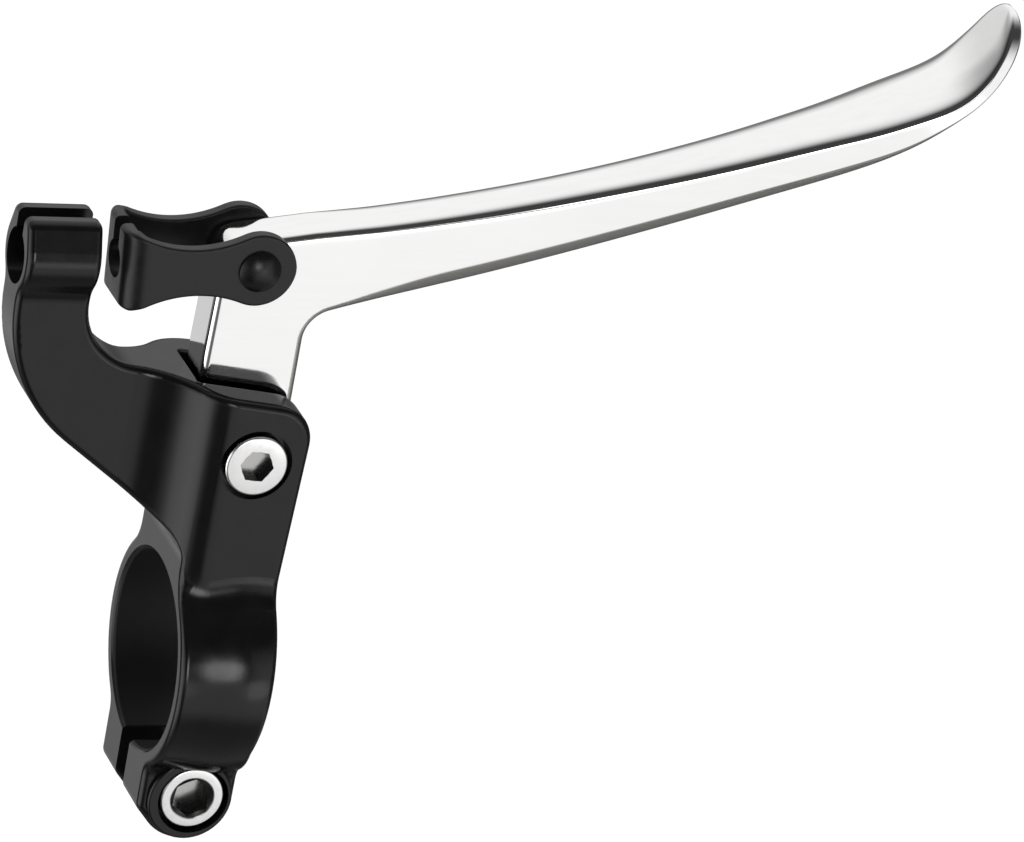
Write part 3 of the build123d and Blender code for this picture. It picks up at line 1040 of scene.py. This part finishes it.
@dataclass
class CableLink:
    """The folded clevis that holds the wire's head, and the rivet that it swings on."""

    tilt: float = 3.8
    length: float = 15.0
    gap: float = 6.4
    wall: float = 1.55
    end_wall: float = 1.7
    bend_radius: float = 2.4
    eye_radius: float = 4.2
    waist: float = 5.5
    waist_position: float = 7.0
    end_height: float = 9.1
    edge_radius: float = 0.3
    end_edge_radius: float = 0.6
    wire_hole: float = 4.2
    wire_slot: float = 2.0
    pin_diameter: float = 3.6
    head_diameter: float = 4.7
    head_height: float = 1.1
    head_land: float = 0.25

    EYE_STEPS = 12
    # The first section stays just short of the eye's end, where it would have no height
    EYE_START = 0.35
    CHEEK_STEPS = 34
    CHEEK_MARGIN = 0.05
    BEND_STEPS = 12
    DOME_STEPS = 10
    HOLE_SIDES = 48
    LINK_SHARP_ANGLE = 35.0
    RIVET_SHARP_ANGLE = 40.0

    def half_height_at(self, x: float) -> float:
        """Outline of the link: a round eye, a waist and a flat end.

        Args:
            x: Distance from the pin.

        Returns:
            Half of the link's height there.
        """
        half_waist = self.waist / 2
        rise = self.eye_radius - half_waist
        radius = (self.waist_position ** 2 - self.eye_radius ** 2 + half_waist ** 2) / (2 * rise)
        leave = -self.eye_radius / (self.eye_radius + radius) * self.waist_position
        if x > leave:
            return math.sqrt(max(self.eye_radius ** 2 - x ** 2, 0.0))
        from_waist = x + self.waist_position
        bow = half_waist + radius - math.sqrt(max(radius ** 2 - from_waist ** 2, 0.0))
        return min(bow, self.end_height / 2)

    def strip_sections(self) -> list[Section]:
        """Sections along the folded strip, from the near eye round the end wall to the far eye.

        Returns:
            The sections, about the pin.
        """
        cheek_y = self.gap / 2 + self.wall / 2
        bend_x = self.bend_radius - self.length
        bend_y = self.gap / 2 + self.wall - self.bend_radius
        along = []
        for step in range(self.EYE_STEPS):
            along.append(self.eye_radius * math.cos(QUARTER * (step + self.EYE_START) / self.EYE_STEPS))
        for step in range(self.CHEEK_STEPS):
            along.append((bend_x - self.CHEEK_MARGIN) * step / self.CHEEK_STEPS)
        places = [(Vector((x, -cheek_y, 0.0)), ACROSS, self.wall) for x in along]
        for step in range(self.BEND_STEPS + 1):
            share = step / self.BEND_STEPS
            out = Vector((-math.sin(QUARTER * share), -math.cos(QUARTER * share), 0.0))
            wall = self.wall + (self.end_wall - self.wall) * share
            centre = Vector((bend_x, -bend_y, 0.0)) + out * (self.bend_radius - wall / 2)
            places.append((centre, out, wall))
        end = Vector((self.end_wall / 2 - self.length, -bend_y / 2, 0.0))
        places.append((end, Vector((-1.0, 0.0, 0.0)), self.end_wall))
        mirror = Vector((1.0, -1.0, 1.0))
        places += [(centre * mirror, out * mirror, wall) for centre, out, wall in reversed(places)]
        found = []
        for centre, out, wall in places:
            edge = self.edge_radius + (self.end_edge_radius - self.edge_radius) * abs(out.x)
            height = 2 * self.half_height_at(centre.x)
            found.append(Section(centre, out, in_plane(0.0, 1.0), wall, height, edge, edge, edge, edge))
        return found

    def keyhole(self) -> list[bmesh.types.BMesh]:
        """Cutters for the round hole in the end wall and for the slot that leads in from above.

        Returns:
            Two closed meshes, about the pin.
        """
        depth = 2 * self.end_wall
        middle = self.end_wall / 2 - self.length
        place = Matrix.Translation(in_plane(middle, 0.0) * MM) @ Matrix.Rotation(QUARTER, 4, "Y")
        hole = rod(self.wire_hole / 2, self.wire_hole / 2, depth, place, self.HOLE_SIDES)
        slot = bmesh.new()
        size = Matrix.Diagonal(Vector((depth, self.wire_slot, self.end_height)) * MM).to_4x4()
        place = Matrix.Translation(in_plane(middle, self.end_height / 2) * MM)
        bmesh.ops.create_cube(slot, size=1.0, matrix=place @ size)
        return [hole, slot]

    def build_link(self) -> bpy.types.Object:
        """Fold the strip, round its edges, cut its holes, tilt it as it rests and dress it.

        Returns:
            The link's object.
        """
        bar = SweptBar()
        for section in self.strip_sections():
            bar.add(section)
        piece = new_piece("wire_link", bar.close(), Body.LINK, "cable_link")
        subdivide(piece)
        bore = self.pin_diameter / 2
        drill(piece, self.keyhole() + [rod(bore, bore, 2 * self.length, across_at(0.0, 0.0, 0.0))])
        tilted = Matrix.Rotation(math.radians(-self.tilt), 4, "Y")
        piece.data.transform(Matrix.Translation(in_plane(*PIN) * MM) @ tilted)
        shade(piece, self.LINK_SHARP_ANGLE)
        SATIN_BLACK.dress(piece)
        return piece

    def build_rivet(self) -> bpy.types.Object:
        """Turn the rivet with a dome on each side, and dress it.

        Returns:
            The rivet's object.
        """
        half = self.gap / 2 + self.wall
        head = self.head_diameter / 2
        rise = self.head_height - self.head_land
        dome_radius = (head ** 2 + rise ** 2) / (2 * rise)
        side = []
        for step in range(self.DOME_STEPS + 1):
            reach = head * math.sin(QUARTER * step / self.DOME_STEPS)
            sag = dome_radius - math.sqrt(dome_radius ** 2 - reach ** 2)
            side.append((reach, half + self.head_height - sag))
        side += [(head, half), (self.pin_diameter / 2, half)]
        profile = side + [(reach, -along) for reach, along in reversed(side)]
        piece = new_piece("domed_rivet", turned(profile, PIN), Body.LINK, "link_pin")
        shade(piece, self.RIVET_SHARP_ANGLE)
        GLOSS_RIVET.dress(piece)
        return piece


@dataclass
class SocketBolt:
    """A socket-headed bolt across the object, with a threaded shank."""

    name: str
    node: str
    height: float
    head: float
    head_face: float
    seat: float
    tip: float
    hexagon: float
    hexagon_depth: float
    hexagon_turn: float
    mouth: float
    thread_start: float
    shank: float = 5.0
    edge: float = 0.3
    pitch: float = 0.8
    thread_depth: float = 0.4

    EDGE_STEPS = 6
    # One groove of the thread, as shares of the pitch and of the depth
    GROOVE = ((0.1, 0.0), (0.45, 1.0), (0.6, 1.0), (0.95, 0.0))
    SOCKET_SIDES = 6
    # Depth of the flat cone at the socket's mouth, as a share of its width
    MOUTH_SLOPE = 0.25
    # The part of the socket that gets painted shade: just past its corners, and clear of the rim and of the
    # floor
    SHADE_REACH = 0.62
    SHADE_START = 0.05
    SHADE_END = 0.02
    SHARP_ANGLE = 20.0

    def profile(self) -> list[Point]:
        """Half outline of the bolt.

        Returns:
            Points as radius and y, from the middle of the head to the tip.
        """
        radius = self.head / 2
        core = self.shank / 2
        points = [(0.0, self.head_face)]
        for step in range(self.EDGE_STEPS + 1):
            angle = QUARTER * step / self.EDGE_STEPS
            inset = self.edge * (1 - math.sin(angle))
            drop = self.edge * (1 - math.cos(angle))
            points.append((radius - inset, self.head_face + drop))
        points += [(radius, self.seat), (core, self.seat)]
        place = self.thread_start
        while place + self.pitch < self.tip - self.edge:
            for along, deep in self.GROOVE:
                points.append((core - deep * self.thread_depth, place + along * self.pitch))
            place += self.pitch
        points += [(core, self.tip - self.edge), (core - self.edge, self.tip), (0.0, self.tip)]
        return points

    def socket(self) -> list[bmesh.types.BMesh]:
        """Cutters for the hexagon and for the flat cone that opens its mouth.

        Returns:
            Two closed meshes.
        """
        corner = self.hexagon / math.sqrt(3)
        place = across_at(0.0, self.head_face, self.height, self.hexagon_turn)
        hexagon = rod(corner, corner, 2 * self.hexagon_depth, place, self.SOCKET_SIDES)
        place = across_at(0.0, self.head_face, self.height)
        cone = rod(self.mouth, 0.0, 2 * self.MOUTH_SLOPE * self.mouth, place)
        return [hexagon, cone]

    def build(self) -> bpy.types.Object:
        """Turn the bolt, cut its socket and dress it.

        Returns:
            The bolt's object.
        """
        axis = (0.0, self.height)
        piece = new_piece(self.name, turned(self.profile(), axis), Body.BRACKET, self.node)
        drill(piece, self.socket())
        shade(piece, self.SHARP_ANGLE)
        # Painted shade inside the socket, from just under its rim to just above its floor
        start = self.head_face + self.SHADE_START
        end = self.head_face + self.hexagon_depth - self.SHADE_END
        shaded_stretch = (self.SHADE_REACH * self.hexagon, start, end)
        replace(BRIGHT_PLATING, axis=axis, socket=shaded_stretch).dress(piece)
        return piece


@dataclass(frozen=True)
class FinishedSolids:
    """The solids that stay in view, and their finishes."""

    finishes: tuple[tuple[str, Finish], ...] = (
        ("bracket", GLOSS_CASTING),
        ("pivot_bush", TURNED_BRASS),
        ("near_washer", NYLON),
        ("far_washer", NYLON),
    )

    def dress(self) -> list[bpy.types.Object]:
        """Put each finish on its solid.

        Returns:
            The solids' objects.
        """
        for name, finish in self.finishes:
            finish.dress(frame["nodes"][name])
        return [frame["nodes"][name] for name, _ in self.finishes]


@dataclass(frozen=True)
class Fade:
    """Smooth change of level over the studio's directions, along one axis."""

    axis: Axis
    start: float
    end: float
    low: float = 0.0
    high: float = 1.0


@dataclass(frozen=True)
class StudioArea:
    """A part of the studio that shows in reflections.

    It lies where all its fades overlap. Of the last pair of fades, the larger counts.
    """

    strength: float
    fades: tuple[Fade, ...]
    larger_of: tuple[Fade, ...] = ()

    def cover(self, bench: NodeBench, axes: dict[Axis, bpy.types.NodeSocket]) -> bpy.types.NodeSocket:
        """Strength of the area in each direction.

        Args:
            bench: The world's nodes.
            axes: The direction's share along each axis.

        Returns:
            The strength, which is 0 outside the area.
        """
        levels = []
        for fade in self.fades + self.larger_of:
            reach = (fade.start, fade.end)
            levels.append(bench.ramp(axes[fade.axis], reach, (fade.low, fade.high), RampShape.SMOOTH))
        if self.larger_of:
            levels[-2:] = [bench.reckon("MAXIMUM", *levels[-2:])]
        found = self.strength
        for level in levels:
            found = bench.reckon("MULTIPLY", found, level)
        return found


class Spot(NamedTuple):
    """A round light that shows in reflections: its direction, then cosines of its edge and core."""

    aim: Triple
    edge: float
    core: float
    strength: float


# The first fade of the front counts twice, so that it darkens late
FRONT = StudioArea(
    0.95, (Fade(Axis.Y, 0.45, -0.45), Fade(Axis.Y, 0.45, -0.45), Fade(Axis.Z, -0.12, 0.02)),
    (Fade(Axis.X, 0.45, 0.25), Fade(Axis.Z, 0.1, 0.5)))
FRONT_LEFT = StudioArea(0.88, (Fade(Axis.Y, -0.4, -0.65), Fade(Axis.X, 0.08, -0.2), Fade(Axis.Z, 0.0, -0.2)))
BACK = StudioArea(
    0.8, (Fade(Axis.Y, 0.1, 0.4), Fade(Axis.Z, 0.48, 0.05)),
    (Fade(Axis.X, -0.3, 0.1), Fade(Axis.Z, -0.1, -0.3, 0.3, 0.42)))
LEFT_BACK = StudioArea(0.8, (Fade(Axis.X, -0.45, -0.6), Fade(Axis.Y, 0.2, 0.4), Fade(Axis.Z, -0.1, -0.25)))
LEFT_HIGH = StudioArea(0.65, (Fade(Axis.X, -0.1, -0.9), Fade(Axis.Z, 0.0, 0.6)))
RIGHT = StudioArea(0.85, (Fade(Axis.X, 0.7, 0.88),))
BELOW = StudioArea(0.76, (Fade(Axis.Z, -0.5, -0.75),))
LEFT_BOX = StudioArea(1.5, (Fade(Axis.X, -0.5, -0.95), Fade(Axis.Y, 0.35, 0.15), Fade(Axis.Z, 0.3, 0.1)))


@dataclass
class Studio:
    """Camera, floor, surroundings and soft lamps."""

    azimuth: float = 23.602
    elevation: float = 23.632
    roll: float = 10.914
    distance: float = 853.8
    slide_right: float = -34.97
    slide_up: float = -25.23
    focal_pixels: float = 7710.0
    image_width: float = 1024.0
    sensor: float = 36.0
    clip: Point = (0.01, 20.0)
    floor_height: float = -120.0
    floor_size: float = 6000.0
    floor_grey: float = 0.9
    floor_roughness: float = 0.9
    floor_lift: float = 0.05
    plain_light: float = 0.6
    dark_areas: tuple[StudioArea, ...] = (FRONT, FRONT_LEFT, BACK, LEFT_BACK, LEFT_HIGH, RIGHT, BELOW)
    spots: tuple[Spot, ...] = (
        Spot((0.03, -0.991, 0.13), 0.972, 0.999, 6.0),
        Spot((0.42, -0.885, -0.2), 0.98, 0.997, 1.3),
    )
    # Name, direction that the light comes from and power of each lamp
    lamps: tuple[tuple[str, Triple, float], ...] = (
        ("left_lamp", (-200.0, -200.0, 690.0), 1.3),
        ("right_lamp", (220.0, -160.0, 630.0), 0.4),
    )
    lamp_angle: float = 14.0

    def axes(self) -> tuple[Vector, Vector, Vector]:
        """Directions of the camera in the part's frame.

        Returns:
            Its right, up and backward directions.
        """
        az, el, roll = (math.radians(a) for a in (self.azimuth, self.elevation, self.roll))
        level = Vector((math.cos(az), -math.sin(az), 0.0))
        upright = Vector((math.sin(az) * math.sin(el), math.cos(az) * math.sin(el), math.cos(el)))
        back = Vector((-math.sin(az) * math.cos(el), -math.cos(az) * math.cos(el), math.sin(el)))
        right = math.cos(roll) * level + math.sin(roll) * upright
        up = math.cos(roll) * upright - math.sin(roll) * level
        return right, up, back

    def build_camera(self) -> None:
        """Set the camera where the picture was taken from."""
        right, up, back = self.axes()
        data = bpy.data.cameras.new("camera")
        data.sensor_fit = "HORIZONTAL"
        data.sensor_width = self.sensor
        data.lens = self.focal_pixels / self.image_width * self.sensor
        data.clip_start, data.clip_end = self.clip
        camera = bpy.data.objects.new("camera", data)
        place = (back * self.distance - right * self.slide_right - up * self.slide_up) * MM
        turn = Matrix((right, up, back)).transposed().to_4x4()
        camera.matrix_world = Matrix.Translation(place) @ turn
        bpy.context.scene.collection.objects.link(camera)
        bpy.context.scene.camera = camera

    def build_floor(self) -> None:
        """Lay a pale floor well below the object, white to the camera apart from shadows."""
        bm = bmesh.new()
        bmesh.ops.create_grid(
            bm, x_segments=1, y_segments=1, size=self.floor_size / 2 * MM,
            matrix=Matrix.Translation((0.0, 0.0, self.floor_height * MM)))
        mesh = bpy.data.meshes.new("floor")
        bm.to_mesh(mesh)
        bm.free()
        floor = bpy.data.objects.new("floor", mesh)
        bpy.context.scene.collection.objects.link(floor)
        material = bpy.data.materials.new("pale_floor")
        material.use_nodes = True
        bench = NodeBench(material.node_tree)
        bench.dress("Base Color", (*[self.floor_grey] * 3, 1.0))
        bench.dress("Roughness", self.floor_roughness)
        bench.dress("Specular IOR Level", 0.0)
        bench.dress("Emission Color", (*[self.floor_lift] * 3, 1.0))
        bench.dress("Emission Strength", bench.add("LightPath", {}).outputs["Is Camera Ray"])
        mesh.materials.append(material)
        floor.visible_glossy = False

    def build_world(self) -> None:
        """Make the surroundings: white to the camera, a white studio with dark areas in reflections."""
        world = bpy.data.worlds.new("studio")
        bpy.context.scene.world = world
        world.use_nodes = True
        bench = NodeBench(world.node_tree)
        direction = bench.add("TexCoord", {}).outputs["Generated"]
        split = bench.add("SeparateXYZ", {"Vector": direction}).outputs
        axes = {axis: split[axis.value] for axis in Axis}
        lit = 1.0
        for area in self.dark_areas:
            lit = bench.reckon("MULTIPLY", lit, bench.reckon("SUBTRACT", 1.0, area.cover(bench, axes)))
        lit = bench.reckon("ADD", lit, LEFT_BOX.cover(bench, axes))
        for spot in self.spots:
            toward = bench.add("VectorMath", {0: direction, 1: spot.aim}, operation="DOT_PRODUCT")
            reach = (spot.edge, spot.core)
            glow = bench.ramp(toward.outputs["Value"], reach, (0.0, spot.strength), RampShape.SMOOTH)
            lit = bench.reckon("ADD", lit, glow)
        path = bench.add("LightPath", {}).outputs
        plain = bench.reckon("MULTIPLY", path["Is Diffuse Ray"], self.plain_light)
        seen = bench.reckon("MAXIMUM", path["Is Camera Ray"], path["Is Transmission Ray"])
        reflected = bench.reckon("MULTIPLY", path["Is Glossy Ray"], lit)
        background = world.node_tree.nodes["Background"]
        bench.feed(background.inputs["Color"], (1.0, 1.0, 1.0, 1.0))
        total = bench.reckon("ADD", bench.reckon("ADD", plain, seen), reflected)
        bench.feed(background.inputs["Strength"], total)

    def build_lamps(self) -> None:
        """Hang two soft lamps, above left and above right, so far off that they light the floor evenly."""
        for name, source, power in self.lamps:
            data = bpy.data.lights.new(name, "SUN")
            data.angle = math.radians(self.lamp_angle)
            data.energy = power
            lamp = bpy.data.objects.new(name, data)
            lamp.matrix_world = (-Vector(source)).to_track_quat("-Z", "Y").to_matrix().to_4x4()
            lamp.visible_camera = False
            lamp.visible_glossy = False
            bpy.context.scene.collection.objects.link(lamp)

    def build(self) -> None:
        """Set up everything that isn't part of the object."""
        bpy.context.scene.view_settings.view_transform = "Standard"
        self.build_camera()
        self.build_floor()
        self.build_world()
        self.build_lamps()


def main() -> None:
    """Build the studio and every piece, in order."""
    logging.basicConfig(level=logging.INFO, format="%(name)s %(message)s")
    Studio().build()
    link = CableLink()
    pivot_bolt = SocketBolt(
        name="pivot_screw", node="pivot_bolt", height=PIVOT[1], head=7.1, head_face=-8.4, seat=-6.5,
        tip=7.7, hexagon=3.4, hexagon_depth=1.5, hexagon_turn=-25.0, mouth=3.5, thread_start=4.3)
    clamp_bolt = SocketBolt(
        name="clamp_screw", node="clamp_bolt", height=-15.2, head=7.4, head_face=-6.7, seat=-3.5,
        tip=7.5, hexagon=4.0, hexagon_depth=2.4, hexagon_turn=5.0, mouth=5.2, thread_start=-2.6)
    pieces = [LeverBlade().build(), link.build_link(), link.build_rivet()]
    pieces += [pivot_bolt.build(), clamp_bolt.build()]
    pieces += FinishedSolids().dress()
    for piece in pieces:
        LOG.info("%s: %d faces", piece.name, len(piece.data.polygons))


if __name__ == "__main__":
    main()
